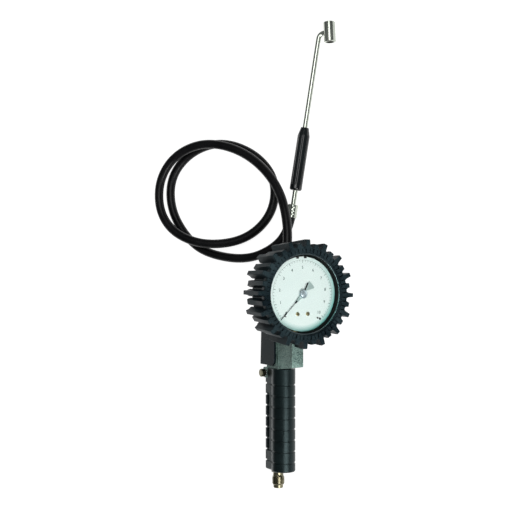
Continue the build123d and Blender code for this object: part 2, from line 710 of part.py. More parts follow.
def lug(tip_radius):
    """One rib across the tread and down the front shoulder, flared where it leaves the boot."""
    root = VALLEY_RADIUS - 1.5
    outline = Polyline(
        (root, BOOT_BACK + 1.0),
        (VALLEY_RADIUS + 1.0, LUG_BACK + 1.2),
        (tip_radius - LUG_DROP, LUG_BACK),
        (tip_radius, LUG_FRONT - 5.0),
        (tip_radius, LUG_FRONT - 0.8),
        (tip_radius - 0.8, LUG_FRONT),
        (SHOULDER_RADIUS + 0.8, LUG_FRONT),
        (SHOULDER_RADIUS, BOOT_FACE - 0.5),
        (root, BOOT_FACE - 3.0),
        close=True,
    )
    rib = extrude(tread_plane() * make_face(outline), amount=LUG_ROOT_WIDTH / 2, both=True)
    tip = LUG_WIDTH / 2
    root_half = LUG_ROOT_WIDTH / 2
    reach = max(TALL_LUG_RADIUS, SHORT_LUG_RADIUS) + 1
    flare = Polyline(
        (SHOULDER_RADIUS - 1, -tip),
        (VALLEY_RADIUS, -tip),
        (VALLEY_RADIUS + 0.1, -root_half),
        (VALLEY_RADIUS + 3.0, -tip - 0.6),
        (reach, -tip),
        (reach, tip),
        (VALLEY_RADIUS + 3.0, tip + 0.6),
        (VALLEY_RADIUS + 0.1, root_half),
        (VALLEY_RADIUS, tip),
        (SHOULDER_RADIUS - 1, tip),
        close=True,
    )
    return rib & extrude(Pos(0, 0, LUG_BACK - 1) * make_face(flare), amount=LUG_FRONT - LUG_BACK + 2)


def face_block():
    """A low block on the boot's front shoulder, between two lugs."""
    outline = Polyline(
        (SHOULDER_RADIUS, BOOT_FACE - 0.5),
        (SHOULDER_RADIUS + 0.6, LUG_FRONT - 0.4),
        (VALLEY_RADIUS + 1.6, LUG_FRONT - 0.8),
        (VALLEY_RADIUS + 2.2, LUG_FRONT - 3.0),
        (VALLEY_RADIUS + 1.2, 50.6),
        (VALLEY_RADIUS - 1.5, 50.6),
        (VALLEY_RADIUS - 1.5, BOOT_FACE - 3.0),
        close=True,
    )
    return extrude(tread_plane() * make_face(outline), amount=1.5, both=True)


def gauge_boot():
    step = 180 / LUG_PAIRS
    lugs = [lug(TALL_LUG_RADIUS), lug(SHORT_LUG_RADIUS)]
    low_block = face_block()
    pieces = []
    for index in range(2 * LUG_PAIRS):
        angle = FIRST_LUG + index * step
        pieces.append(Pos(0, HUB_UP, 0) * Rot(0, 0, angle) * lugs[index % 2])
        pieces.append(Pos(0, HUB_UP, 0) * Rot(0, 0, angle + step / 2) * low_block)
    boot = boot_cup() + pieces
    ends = (HUB_UP - TALL_LUG_RADIUS - 5.4, HUB_UP - CASE_RADIUS + 3)
    slot = block((-ARM_HALF_WIDTH - 0.4, ARM_HALF_WIDTH + 0.4), ends, (LUG_BACK - 1, ARM_FRONT + 0.4))
    return boot - slot


# Where the standing pieces go on the table
def laid(shape):
    return Pos(0, 0, TABLE_DROP) * Rot(PITCH, 0, 0) * Rot(0, ROLL, 0) * shape


def laid_point(point):
    return (Pos(0, 0, TABLE_DROP) * Rot(PITCH, 0, 0) * Rot(0, ROLL, 0) * Pos(*point)).position


# The hose, with a fitting and a crimped ferrule at each end
def outlet_fitting():
    low = BODY_TOP - 9
    body = rod(OUTLET_THREAD_RADIUS, (0, low, OUTLET_OUT), (0, BODY_TOP, OUTLET_OUT))
    body += rod(6.5, (0, BODY_TOP, OUTLET_OUT), (0, BODY_TOP + 5, OUTLET_OUT))
    body += rod(4.0, (0, BODY_TOP + 5, OUTLET_OUT), (0, HOSE_START, OUTLET_OUT))
    body += rod(HOSE_BORE_RADIUS - 0.02, (0, HOSE_START, OUTLET_OUT), (0, HOSE_START + 12, OUTLET_OUT))
    return body - rod(1.3, (0, low - 1, OUTLET_OUT), (0, HOSE_START + 13, OUTLET_OUT))


def outlet_ferrule():
    start = (0, HOSE_START - 3, OUTLET_OUT)
    end = (0, HOSE_START + 13, OUTLET_OUT)
    shell = rod(FERRULE_RADIUS, start, end)
    shell -= rod(HOSE_RADIUS + 0.02, (0, HOSE_START - 0.02, OUTLET_OUT), end)
    return shell - rod(4.02, start, (0, HOSE_START, OUTLET_OUT))


def lance_frame():
    heading = radians(LANCE_HEADING)
    return Plane(LANCE_START, x_dir=(cos(heading), -sin(heading), 0), z_dir=(sin(heading), cos(heading), 0))


def hose_points():
    start = laid_point((0, HOSE_START, OUTLET_OUT))
    first = laid_point((0, HOSE_START + 33, OUTLET_OUT))
    frame = lance_frame()
    last = frame.origin - frame.z_dir * HOSE_RUN_BEFORE_FERRULE
    end = frame.origin + frame.z_dir * HOSE_IN_FERRULE
    middle = [Vector(point) for point in HOSE_ROUTE]
    return [start, first, *middle, last, end]


def corner_radii(points):
    radii = []
    for before, corner, after in zip(points, points[1:], points[2:]):
        arriving = corner - before
        leaving = after - corner
        turn = radians(arriving.get_angle(leaving))
        shorter = min(arriving.length, leaving.length)
        radii.append(0.45 * shorter / tan(turn / 2))
    return radii


def hose():
    points = hose_points()
    radii = corner_radii(points)
    print("hose corner radii", [round(radius, 1) for radius in radii])
    path = FilletPolyline(*points, radius=radii)
    section = Plane(path @ 0, z_dir=path % 0) * (Circle(HOSE_RADIUS) - Circle(HOSE_BORE_RADIUS))
    body = sweep(section, path=path)
    area = pi * (HOSE_RADIUS**2 - HOSE_BORE_RADIUS**2)
    print("hose length", round(path.length, 1), "volume ratio", round(body.volume / (area * path.length), 4))
    return body


# The lance: ferrule, bent tube, fluted sleeve and the twin chuck
def lance_ferrule():
    shell = Solid.make_cylinder(FERRULE_RADIUS, FERRULE_LENGTH)
    shell -= Solid.make_cylinder(HOSE_RADIUS + 0.02, HOSE_IN_FERRULE)
    shell -= Solid.make_cylinder(LANCE_TUBE_RADIUS + 0.02, FERRULE_LENGTH)
    return lance_frame() * shell


def lance_tube():
    frame = lance_frame()
    barb = frame.origin + frame.z_dir * 2.0
    start = frame.origin + frame.z_dir * (HOSE_IN_FERRULE + 0.02)
    corner = frame.origin + frame.z_dir * LANCE_CORNER
    chuck = chuck_frame()
    inlet = chuck.origin - chuck.x_dir * (CHUCK_RADIUS - 1.5)
    path = FilletPolyline(start, corner, inlet, radius=LANCE_BEND_RADIUS)
    section = Plane(path @ 0, z_dir=path % 0) * (Circle(LANCE_TUBE_RADIUS) - Circle(1.5))
    return sweep(section, path=path) + pipe(HOSE_BORE_RADIUS - 0.02, 1.5, barb, start)


def lance_sleeve():
    low, high = SLEEVE
    length = high - low
    body = Solid.make_cylinder(SLEEVE_RADIUS, length - 9)
    body += Pos(0, 0, length - 9) * Solid.make_cone(SLEEVE_RADIUS, 4.2, 9)
    body = fillet(body.edges().sort_by(Axis.Z)[0], 2.2)
    for index in range(8):
        groove = Solid.make_cylinder(1.5, length - 14)
        body -= Rot(0, 0, 22.5 + 45 * index) * Pos(SLEEVE_RADIUS + 0.7, 0, 6) * groove
    body -= Solid.make_cylinder(LANCE_TUBE_RADIUS + 0.03, length)
    return lance_frame() * Pos(0, 0, low) * body


def chuck_frame():
    lean = radians(CHUCK_LEAN)
    return Plane(CHUCK_CENTRE, x_dir=(cos(lean), sin(lean), 0), z_dir=(-sin(lean), cos(lean), 0))


def chuck_head():
    half = CHUCK_HALF_LENGTH
    body = Pos(0, 0, -half) * Solid.make_cylinder(CHUCK_RADIUS, 2 * half)
    body = chamfer(body.edges().filter_by(GeomType.CIRCLE), 0.6)
    seat = Pos(0, 0, CHUCK_WEB) * Solid.make_cylinder(CHUCK_SEAT_RADIUS, half)
    port = Pos(0, 0, half - CHUCK_PORT_DEPTH) * Solid.make_cylinder(CHUCK_PORT_RADIUS, half)
    for side in (0, 180):
        body -= Rot(side, 0, 0) * seat
        body -= Rot(side, 0, 0) * port
    body -= Pos(-CHUCK_RADIUS, 0, 0) * Rot(0, 90, 0) * Cylinder(LANCE_TUBE_RADIUS + 0.03, 3.0)
    body -= Pos(-4.2, 0, 0) * Rot(0, 90, 0) * Cylinder(1.2, 5.4)
    body -= Pos(-2.5, 0, 0) * Cylinder(1.0, 3 * CHUCK_WEB)
    body -= Cylinder(CHUCK_PIN_RADIUS + 0.01, 3 * CHUCK_WEB)
    return chuck_frame() * body


def chuck_seals():
    """The rubber rings at the bottom of the ports, which seal on the end of the tyre's valve."""
    low = CHUCK_WEB + 0.02
    high = CHUCK_HALF_LENGTH - CHUCK_PORT_DEPTH
    ring = Cylinder(CHUCK_SEAT_RADIUS - 0.03, high - low) - Cylinder(CHUCK_SEAT_RADIUS - 0.6, high - low)
    ring = Pos(0, 0, (low + high) / 2) * ring
    return chuck_frame() * Compound(children=[ring, Rot(180, 0, 0) * ring])


def chuck_pins():
    """The pin through the web, whose two ends press the tyre valve's core."""
    reach = CHUCK_HALF_LENGTH - CHUCK_PORT_DEPTH - 0.2
    return chuck_frame() * Cylinder(CHUCK_PIN_RADIUS, 2 * reach)


STANDING = {
    "grip": grip(),
    "inlet_nipple": inlet_nipple(),
    "inlet_filter": inlet_filter(),
    "inlet_tube": inlet_tube(),
    "inlet_washer": inlet_washer(),
    "valve_body": valve_body(),
    "valve_nut": valve_nut(),
    "rod_seal": rod_seal(),
    "push_rod": push_rod(),
    "valve_seat": valve_seat(),
    "valve_spring": valve_spring(),
    "lever": lever(),
    "lever_pin": lever_pin(),
    "bleed_button": bleed_button(),
    "bleed_spring": bleed_spring(),
    "bleed_seal": bleed_seal(),
    "gauge_case": gauge_case(),
    "gauge_socket": gauge_socket(),
    "stem_washer": stem_washer(),
    "coil_tube": coil_tube(),
    "movement_plates": movement_plates(),
    "pinion_arbor": pinion_arbor(),
    "sector_gear": sector_gear(),
    "tip_link": tip_link(),
    "hair_spring": hair_spring(),
    "dial": dial(),
    "dial_screws": dial_screws(),
    "zero_stop": zero_stop(),
    "pointer": pointer(),
    "window_gasket": window_gasket(),
    "gauge_window": gauge_window(),
    "bezel_ring": bezel_ring(),
    "gauge_boot": gauge_boot(),
    "outlet_fitting": outlet_fitting(),
    "outlet_ferrule": outlet_ferrule(),
}
LYING = {
    "hose": hose(),
    "lance_ferrule": lance_ferrule(),
    "lance_tube": lance_tube(),
    "lance_sleeve": lance_sleeve(),
    "chuck_head": chuck_head(),
    "chuck_seals": chuck_seals(),
    "chuck_pins": chuck_pins(),
}
resting = {name: laid(shape) for name, shape in STANDING.items()}
boxes = [shape.bounding_box() for shape in resting.values()]
middle_x = (min(box.min.X for box in boxes) + max(box.max.X for box in boxes)) / 2
middle_y = (min(box.min.Y for box in boxes) + max(box.max.Y for box in boxes)) / 2
ORIGIN = Vector(-middle_x, -middle_y, -min(box.min.Z for box in boxes))
print("origin shift", [round(value, 3) for value in ORIGIN])

for name, shape in {**resting, **LYING}.items():
    export_step(Pos(*ORIGIN) * shape, f"parts/{name}.step")
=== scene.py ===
import bpy
import bmesh
from math import cos, pi, radians, sin
from mathutils import Matrix, Vector


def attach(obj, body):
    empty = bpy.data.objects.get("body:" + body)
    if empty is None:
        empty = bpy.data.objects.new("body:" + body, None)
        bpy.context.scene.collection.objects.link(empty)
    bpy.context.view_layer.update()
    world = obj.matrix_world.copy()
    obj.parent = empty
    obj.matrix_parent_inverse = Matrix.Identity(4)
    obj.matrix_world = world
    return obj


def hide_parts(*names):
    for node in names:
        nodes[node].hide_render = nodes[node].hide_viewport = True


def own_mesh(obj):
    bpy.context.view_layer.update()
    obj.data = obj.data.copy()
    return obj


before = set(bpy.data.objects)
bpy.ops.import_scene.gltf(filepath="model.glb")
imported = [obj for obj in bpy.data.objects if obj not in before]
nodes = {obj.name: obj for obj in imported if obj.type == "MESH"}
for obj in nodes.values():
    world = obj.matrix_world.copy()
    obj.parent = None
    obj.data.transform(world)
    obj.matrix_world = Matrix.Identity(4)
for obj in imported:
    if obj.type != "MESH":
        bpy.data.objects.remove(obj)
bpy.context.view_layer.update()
scene = bpy.context.scene
scene.view_settings.view_transform = "Standard"
MM = 0.001

# The tool was drawn standing up, X to the gauge's right, Y up the handle and Z out of the dial, in
# millimetres. On the table it has rolled on to a lug of the boot and the grip's back corner, with the
# handle pitched a little. This matrix takes a drawn place to its place on the table.
lying = (
    Matrix.Translation(Vector((-28.2729, -126.698, 12.76853)) * MM)
    @ Matrix.Rotation(radians(4.0), 4, "X")
    @ Matrix.Rotation(radians(50.936906), 4, "Y")
    @ Matrix.Scale(MM, 4)
)
HUB = Vector((0, 202, 50))

# The camera looks square at the handle, which is turned 28 degrees so that the lever's side shows.
# It stands 1.2 m from the dial, with the lens that gives the photograph's perspective.
turned = Matrix.Rotation(radians(-28), 4, "Y")
eye = HUB + turned @ Vector((-47.6, 39.0, 1200))
camera = bpy.data.objects.new("camera", bpy.data.cameras.new("camera"))
scene.collection.objects.link(camera)
camera.data.sensor_width = 36
camera.data.lens = 84.7
camera.data.clip_end = 200
place = lying @ Matrix.Translation(eye) @ turned
camera.matrix_world = Matrix.LocRotScale(place.translation, place.to_quaternion(), None)
scene.camera = camera


# The tool lies on a sheet of white paper in a light tent. The paper is lit until it is nearly white,
# and only the shade right under the tool is left on it.
def add_math(tree, operation, *values, clamp=False):
    """The output of a Math node that is fed by numbers or by other nodes' outputs."""
    node = tree.nodes.new("ShaderNodeMath")
    node.operation = operation
    node.use_clamp = clamp
    for socket, value in zip(node.inputs, values):
        if isinstance(value, (int, float)):
            socket.default_value = value
        else:
            tree.links.new(value, socket)
    return node.outputs[0]


paper_mesh = bpy.data.meshes.new("tabletop")
paper_mesh.from_pydata([(-60, -60, 0), (60, -60, 0), (60, 60, 0), (-60, 60, 0)], [], [(0, 1, 2, 3)])
tabletop = bpy.data.objects.new("tabletop", paper_mesh)
scene.collection.objects.link(tabletop)
paper = bpy.data.materials.new("paper")
paper.use_nodes = True
tree = paper.node_tree
tree.nodes.clear()
ray = tree.nodes.new("ShaderNodeLightPath").outputs
looked_at = add_math(tree, "ADD", ray["Is Camera Ray"], ray["Is Glossy Ray"])
looked_at = add_math(tree, "ADD", looked_at, ray["Is Transmission Ray"], clamp=True)
level = tree.nodes.new("ShaderNodeMapRange")
level.inputs["To Min"].default_value = 0.12
level.inputs["To Max"].default_value = 0.93
glow = tree.nodes.new("ShaderNodeEmission")
sheet = tree.nodes.new("ShaderNodeBsdfDiffuse")
sheet.inputs["Color"].default_value = (0.3, 0.3, 0.3, 1)
both = tree.nodes.new("ShaderNodeAddShader")
out = tree.nodes.new("ShaderNodeOutputMaterial")
for start, end in [
    (looked_at, level.inputs["Value"]),
    (level.outputs["Result"], glow.inputs["Strength"]),
    (glow.outputs[0], both.inputs[0]),
    (sheet.outputs[0], both.inputs[1]),
    (both.outputs[0], out.inputs["Surface"]),
]:
    tree.links.new(start, end)
paper_mesh.materials.append(paper)

# The tent is white overhead and falls to grey near the table, so that metal shows a light middle
# and darker flanks. Three soft lamps through its cloth give the long highlights.
tent = bpy.data.worlds.new("tent")
scene.world = tent
tent.use_nodes = True
tree = tent.node_tree
tree.nodes.clear()
where = tree.nodes.new("ShaderNodeTexCoord")
apart = tree.nodes.new("ShaderNodeSeparateXYZ")
cloth = tree.nodes.new("ShaderNodeValToRGB")
cloth.color_ramp.elements[0].position = 0.0
cloth.color_ramp.elements[0].color = (0.42, 0.46, 0.48, 1)
cloth.color_ramp.elements[1].position = 0.75
cloth.color_ramp.elements[1].color = (0.95, 0.98, 1.0, 1)
fabric = tree.nodes.new("ShaderNodeBackground")
fabric.inputs["Strength"].default_value = 0.22
out = tree.nodes.new("ShaderNodeOutputWorld")
tree.links.new(where.outputs["Generated"], apart.inputs[0])
tree.links.new(apart.outputs["Z"], cloth.inputs["Fac"])
tree.links.new(cloth.outputs["Color"], fabric.inputs["Color"])
tree.links.new(fabric.outputs[0], out.inputs["Surface"])

for name, standing, size, power in [
    ("lamp_left", (-520, 560, 760), 0.6, 4),
    ("lamp_right", (700, 160, 560), 0.3, 3),
    ("lamp_front", (-60, -330, 960), 0.7, 11),
]:
    lamp = bpy.data.lights.new(name, "AREA")
    lamp.size = size
    lamp.energy = power
    holder = bpy.data.objects.new(name, lamp)
    scene.collection.objects.link(holder)
    spot = lying @ Vector(standing)
    aim = lying @ Vector((0, 150, 20)) - spot
    holder.matrix_world = Matrix.LocRotScale(spot, aim.to_track_quat("-Z", "Y"), None)


# The hose is a five-millimetre rubber air hose, crimped to the body behind the gauge. It makes two
# loose turns on the table, the first lying over the second, and ends in the lance's ferrule. Its
# skin has a fine grain and the dull rubbed patches of rubber that has been dragged over a floor.
def new_pattern(name, inputs, outputs):
    """An empty shader group with its inputs and outputs, and the two nodes that stand for them."""
    group = bpy.data.node_groups.new(name, "ShaderNodeTree")
    for label, value in inputs:
        socket = group.interface.new_socket(label, in_out="INPUT", socket_type="NodeSocketFloat")
        socket.default_value = value
    for label, kind in outputs:
        group.interface.new_socket(label, in_out="OUTPUT", socket_type=kind)
    return group, group.nodes.new("NodeGroupInput"), group.nodes.new("NodeGroupOutput")


SURFACE = [("Tone", "NodeSocketFloat"), ("Roughness", "NodeSocketFloat"), ("Normal", "NodeSocketVector")]
grain, given, result = new_pattern("grain", [("Scale", 900.0), ("Depth", 0.3), ("Wear", 0.3)], SURFACE)
where = grain.nodes.new("ShaderNodeTexCoord")
fine = grain.nodes.new("ShaderNodeTexNoise")
fine.inputs["Detail"].default_value = 4.0
broad = grain.nodes.new("ShaderNodeTexNoise")
broad.inputs["Scale"].default_value = 45.0
broad.inputs["Detail"].default_value = 4.0
bump = grain.nodes.new("ShaderNodeBump")
bump.inputs["Distance"].default_value = 0.0004
for texture in (fine, broad):
    grain.links.new(where.outputs["Object"], texture.inputs["Vector"])
grain.links.new(given.outputs["Scale"], fine.inputs["Scale"])
grain.links.new(given.outputs["Depth"], bump.inputs["Strength"])
grain.links.new(fine.outputs[0], bump.inputs["Height"])
broad_share = add_math(grain, "MULTIPLY", broad.outputs[0], 0.55)
tone = add_math(grain, "MULTIPLY_ADD", fine.outputs[0], 0.45, broad_share)
centred = add_math(grain, "SUBTRACT", broad.outputs[0], 0.5)
patch = add_math(grain, "MULTIPLY", centred, given.outputs["Wear"])
grain.links.new(tone, result.inputs["Tone"])
grain.links.new(patch, result.inputs["Roughness"])
grain.links.new(bump.outputs[0], result.inputs["Normal"])


def finish(name, pattern, dark, light, roughness, metallic=0.0, specular=0.5, glint=(1, 1, 1), **values):
    """A material between two tones of a shared pattern, which also drives its roughness and relief."""
    material = bpy.data.materials.new(name)
    material.use_nodes = True
    tree = material.node_tree
    shader = tree.nodes["Principled BSDF"]
    shader.inputs["Metallic"].default_value = metallic
    shader.inputs["Specular IOR Level"].default_value = specular
    shader.inputs["Specular Tint"].default_value = (*glint, 1)
    effect = tree.nodes.new("ShaderNodeGroup")
    effect.node_tree = pattern
    for label, value in values.items():
        effect.inputs[label].default_value = value
    tones = tree.nodes.new("ShaderNodeValToRGB")
    for element, position, colour in zip(tones.color_ramp.elements, (0.38, 0.66), (dark, light)):
        element.position = position
        element.color = (*colour, 1)
    tree.links.new(effect.outputs["Tone"], tones.inputs["Fac"])
    tree.links.new(tones.outputs["Color"], shader.inputs["Base Color"])
    worn = add_math(tree, "ADD", effect.outputs["Roughness"], roughness)
    tree.links.new(worn, shader.inputs["Roughness"])
    tree.links.new(effect.outputs["Normal"], shader.inputs["Normal"])
    return material


HOSE_POINTS = [
    (-0.01585, 0.071114, 0.036708),
    (-0.01585, 0.104033, 0.03901),
    (-0.015073, 0.143302, 0.035995),
    (-0.031273, 0.187302, 0.025995),
    (-0.069773, 0.223302, 0.018995),
    (-0.117273, 0.237802, 0.018495),
    (-0.155473, 0.226302, 0.018495),
    (-0.176773, 0.198302, 0.016995),
    (-0.175573, 0.162302, 0.016995),
    (-0.154273, 0.136802, 0.018495),
    (-0.117273, 0.124602, 0.015995),
    (-0.074273, 0.131202, 0.007995),
    (-0.046073, 0.158302, 0.004795),
    (-0.042673, 0.195302, 0.004795),
    (-0.066873, 0.224302, 0.004795),
    (-0.108273, 0.239702, 0.004795),
    (-0.145273, 0.229302, 0.004795),
    (-0.168773, 0.202302, 0.004795),
    (-0.167773, 0.166302, 0.004795),
    (-0.147273, 0.134302, 0.004795),
    (-0.121273, 0.116502, 0.004795),
    (-0.074273, 0.109602, 0.004795),
    (-0.040273, 0.123802, 0.005395),
    (-0.02522, 0.144893, 0.006545),
    (-0.022257, 0.166693, 0.006545),
]
line = bpy.data.curves.new("hose_line", "CURVE")
line.dimensions = "3D"
line.bevel_depth = 0.00475
line.bevel_resolution = 6
line.resolution_u = 12
line.use_fill_caps = True
run = line.splines.new("NURBS")
run.points.add(len(HOSE_POINTS) - 1)
for knot, point in zip(run.points, HOSE_POINTS):
    knot.co = (*point, 1)
run.order_u = 3
run.use_endpoint_u = True
hose_rubber = finish(
    "hose_rubber", grain, (0.0014, 0.0014, 0.0018), (0.006, 0.006, 0.007), 0.34, specular=0.16, Depth=0.12
)
line.materials.append(hose_rubber)
hose = bpy.data.objects.new("air_hose", line)
scene.collection.objects.link(hose)
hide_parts("hose")
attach(hose, "inflator")


# The two ferrules are nickel-plated brass sleeves, pressed on to the hose's ends by crimping jaws. The
# one at the lance shows the jaws' three narrow bands, and its mouth is rolled inwards a little.
rubbed, given, result = new_pattern(
    "rubbed metal", [("Scale", 260.0), ("Depth", 0.1), ("Wear", 0.24)], SURFACE
)
where = rubbed.nodes.new("ShaderNodeTexCoord")
lengthways = rubbed.nodes.new("ShaderNodeMapping")
lengthways.inputs["Scale"].default_value = (1.0, 0.08, 1.0)
scratch = rubbed.nodes.new("ShaderNodeTexNoise")
scratch.inputs["Detail"].default_value = 5.0
smear = rubbed.nodes.new("ShaderNodeTexNoise")
smear.inputs["Scale"].default_value = 60.0
smear.inputs["Detail"].default_value = 3.0
bump = rubbed.nodes.new("ShaderNodeBump")
bump.inputs["Distance"].default_value = 0.00015
rubbed.links.new(where.outputs["Object"], lengthways.inputs["Vector"])
rubbed.links.new(lengthways.outputs[0], scratch.inputs["Vector"])
rubbed.links.new(where.outputs["Object"], smear.inputs["Vector"])
rubbed.links.new(given.outputs["Scale"], scratch.inputs["Scale"])
rubbed.links.new(given.outputs["Depth"], bump.inputs["Strength"])
rubbed.links.new(scratch.outputs[0], bump.inputs["Height"])
smear_share = add_math(rubbed, "MULTIPLY", smear.outputs[0], 0.5)
tone = add_math(rubbed, "MULTIPLY_ADD", scratch.outputs[0], 0.5, smear_share)
centred = add_math(rubbed, "SUBTRACT", smear.outputs[0], 0.5)
patch = add_math(rubbed, "MULTIPLY", centred, given.outputs["Wear"])
rubbed.links.new(tone, result.inputs["Tone"])
rubbed.links.new(patch, result.inputs["Roughness"])
rubbed.links.new(bump.outputs[0], result.inputs["Normal"])


def add_piece(name, mesh, material, body):
    """A finished mesh becomes a piece that rides on its body."""
    mesh.materials.clear()
    mesh.materials.append(material)
    piece = bpy.data.objects.new(name, mesh)
    scene.collection.objects.link(piece)
    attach(piece, body)
    return piece


def to_mesh(shape, name, smooth=True):
    """The mesh of a finished bmesh, which is freed."""
    mesh = bpy.data.meshes.new(name)
    shape.to_mesh(mesh)
    shape.free()
    if smooth:
        mesh.polygons.foreach_set("use_smooth", [True] * len(mesh.polygons))
    return mesh


SHARP = radians(35)


def lathe(name, radius_at, heights, axes, columns=48):
    """A closed ring of rows round an axis, with radius_at(row, angle), smooth all over."""
    shape = bmesh.new()
    rows = []
    for row, height in enumerate(heights):
        points = []
        for column in range(columns):
            angle = 2 * pi * column / columns
            radius = radius_at(row, angle)
            point = Vector((radius * cos(angle), radius * sin(angle), height))
            points.append(shape.verts.new(axes @ point))
        rows.append(points)
    for row, points in enumerate(rows):
        above = rows[(row + 1) % len(rows)]
        for column in range(columns):
            beside = (column + 1) % columns
            shape.faces.new((points[column], points[beside], above[beside], above[column]))
    bmesh.ops.recalc_face_normals(shape, faces=shape.faces)
    mesh = to_mesh(shape, name)
    mesh.set_sharp_from_angle(angle=SHARP)
    return mesh


nickel = finish(
    "nickel", rubbed, (0.4, 0.43, 0.38), (0.56, 0.59, 0.52), 0.18, metallic=1.0, Depth=0.02, Wear=0.15
)
crimped = [
    (4.8, 0.0), (5.25, 0.0), (5.5, 0.35), (5.5, 1.6), (5.34, 2.2), (5.34, 3.2), (5.5, 3.8), (5.5, 5.0),
    (5.34, 5.6), (5.34, 6.6), (5.5, 7.2), (5.5, 8.4), (5.34, 9.0), (5.34, 10.0), (5.5, 10.6), (5.5, 13.4),
    (5.1, 13.9), (2.65, 13.9), (2.65, 12.05), (4.8, 12.05),
]
LANCE_TURN = radians(7.74)
along = Vector((sin(LANCE_TURN), cos(LANCE_TURN), 0))
lance_start = Vector((-23.8729, 154.802, 6.544577)) * MM
lance = Matrix.Translation(lance_start) @ along.to_track_quat("Z", "Y").to_matrix().to_4x4()
lance @= Matrix.Scale(MM, 4)
mesh = lathe("lance_crimp", lambda row, angle: crimped[row][0], [height for _, height in crimped], lance)
lance_crimp = add_piece("lance_crimp", mesh, nickel, "inflator")
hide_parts("lance_ferrule")


# The lance is a bent nickel-plated tube with a twin chuck at its end, and a fluted black sleeve where
# the hand holds it. Each port of the chuck has a rubber ring and a brass pin. The tool's black
# plastic, paint and rubber have a cold glint, which the tint below stands for.
def dress(material, *names):
    """Give CAD pieces a finish and leave their shapes alone."""
    for name in names:
        nodes[name].data.materials.clear()
        nodes[name].data.materials.append(material)


COOL = (0.7, 0.97, 1.0)
moulding = finish(
    "moulding", grain, (0.001, 0.0022, 0.0026), (0.0045, 0.0088, 0.0092), 0.32,
    specular=0.26, glint=COOL, Depth=0.2,
)
seal_rubber = finish("seal_rubber", grain, (0.01, 0.01, 0.01), (0.03, 0.03, 0.03), 0.6)
brass = finish("brass", rubbed, (0.42, 0.36, 0.2), (0.66, 0.58, 0.36), 0.26, metallic=1.0)
dress(nickel, "lance_tube", "chuck_head", "outlet_ferrule")
gloss = finish(
    "gloss", grain, (0.0012, 0.002, 0.0026), (0.004, 0.007, 0.008), 0.14, Depth=0.06, Wear=0.15
)
dress(gloss, "lance_sleeve")
dress(seal_rubber, "chuck_seals")
dress(brass, "chuck_pins")


# The grip is moulded in black plastic round the air tube, half round in front and flat-sided behind,
# with eight grooves for the fingers. The mould leaves its edges slightly round.
def joined_up(node):
    """A CAD piece's mesh with its doubled corners made one."""
    shape = bmesh.new()
    shape.from_mesh(nodes[node].data)
    bmesh.ops.remove_doubles(shape, verts=shape.verts, dist=2e-6)
    return shape


def evaluated(holder):
    """The mesh that an object's modifiers or letters come to. The object itself is taken away."""
    mesh = bpy.data.meshes.new_from_object(holder.evaluated_get(bpy.context.evaluated_depsgraph_get()))
    bpy.data.objects.remove(holder)
    return mesh


def softened(node, material, width, body="inflator"):
    """A copy of a CAD piece with its triangles merged and its edges rounded."""
    shape = joined_up(node)
    bmesh.ops.dissolve_limit(shape, angle_limit=radians(1.0), verts=shape.verts, edges=shape.edges)
    copy = bpy.data.objects.new("copy", to_mesh(shape, "soft_" + node))
    scene.collection.objects.link(copy)
    bevel = copy.modifiers.new("bevel", "BEVEL")
    bevel.width = width
    bevel.segments = 2
    bevel.limit_method = "ANGLE"
    bevel.angle_limit = SHARP
    bevel.use_clamp_overlap = True
    copy.modifiers.new("even", "WEIGHTED_NORMAL").keep_sharp = True
    piece = add_piece("soft_" + node, evaluated(copy), material, body)
    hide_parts(node)


softened("grip", moulding, 0.0004)
steel = finish("steel", rubbed, (0.4, 0.4, 0.4), (0.6, 0.6, 0.6), 0.28, metallic=1.0)
dress(steel, "inlet_tube")

# The inlet is a turned brass nipple, blackened by its plating bath, with a quarter-inch pipe thread
# of 1.337 mm pitch rolled on it. A strainer sits in its mouth and a washer at the tube's far end.
PITCH = 1.337
ROOT_RADIUS = 5.72
RIDGE = 0.86
THREAD_FROM, THREAD_TO = 3.6, 12.4
RUN_OUT = 1.2
sections = [(2.85, 0.0), (4.6, 0.0), (5.1, 0.5), (5.1, 3.1), (5.6, THREAD_FROM)]
sections += [(ROOT_RADIUS, THREAD_FROM + step * PITCH / 8) for step in range(1, 53)]
sections += [(5.6, 12.5), (5.4, 13.0), (5.4, 16.2), (5.6, 16.6), (7.0, 16.6), (7.2, 16.8), (7.2, 18.4)]
sections += [(7.0, 18.6), (3.95, 18.6), (3.95, 31.0), (2.85, 31.0)]


def thread_radius(row, angle):
    """The nipple's radius, with the thread's ridge winding round between its two necks."""
    radius, height = sections[row]
    if radius != ROOT_RADIUS:
        return radius
    turn = (height / PITCH - angle / (2 * pi)) % 1.0
    crest = min(1.0, max(0.0, 1.6 - abs(turn - 0.5) * 4.4))
    fade = min(1.0, (height - THREAD_FROM) / RUN_OUT, (THREAD_TO - height) / RUN_OUT)
    return radius + RIDGE * crest * max(0.0, fade)


upwards = lying @ Matrix.Rotation(radians(-90), 4, "X")
dark_brass = finish("dark_brass", rubbed, (0.09, 0.09, 0.06), (0.32, 0.29, 0.19), 0.24, metallic=1.0)
mesh = lathe("nipple", thread_radius, [height for _, height in sections], upwards, columns=72)
nipple = add_piece("threaded_nipple", mesh, dark_brass, "inflator")
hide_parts("inlet_nipple")
dress(brass, "inlet_filter")
dress(seal_rubber, "inlet_washer")

# The valve body is one zinc casting with a speckled grey-green finish. The bar carries the lever's
# pin, the arm carries the gauge, and the tail below holds the brass bleed button.
casting = finish(
    "casting", grain, (0.025, 0.052, 0.046), (0.34, 0.5, 0.44), 0.5, specular=0.25, Scale=700.0, Depth=0.8
)
softened("valve_body", casting, 0.0011)
dress(dark_brass, "bleed_button")
dress(brass, "valve_nut", "push_rod", "outlet_fitting")
dress(seal_rubber, "rod_seal", "valve_seat", "bleed_seal")


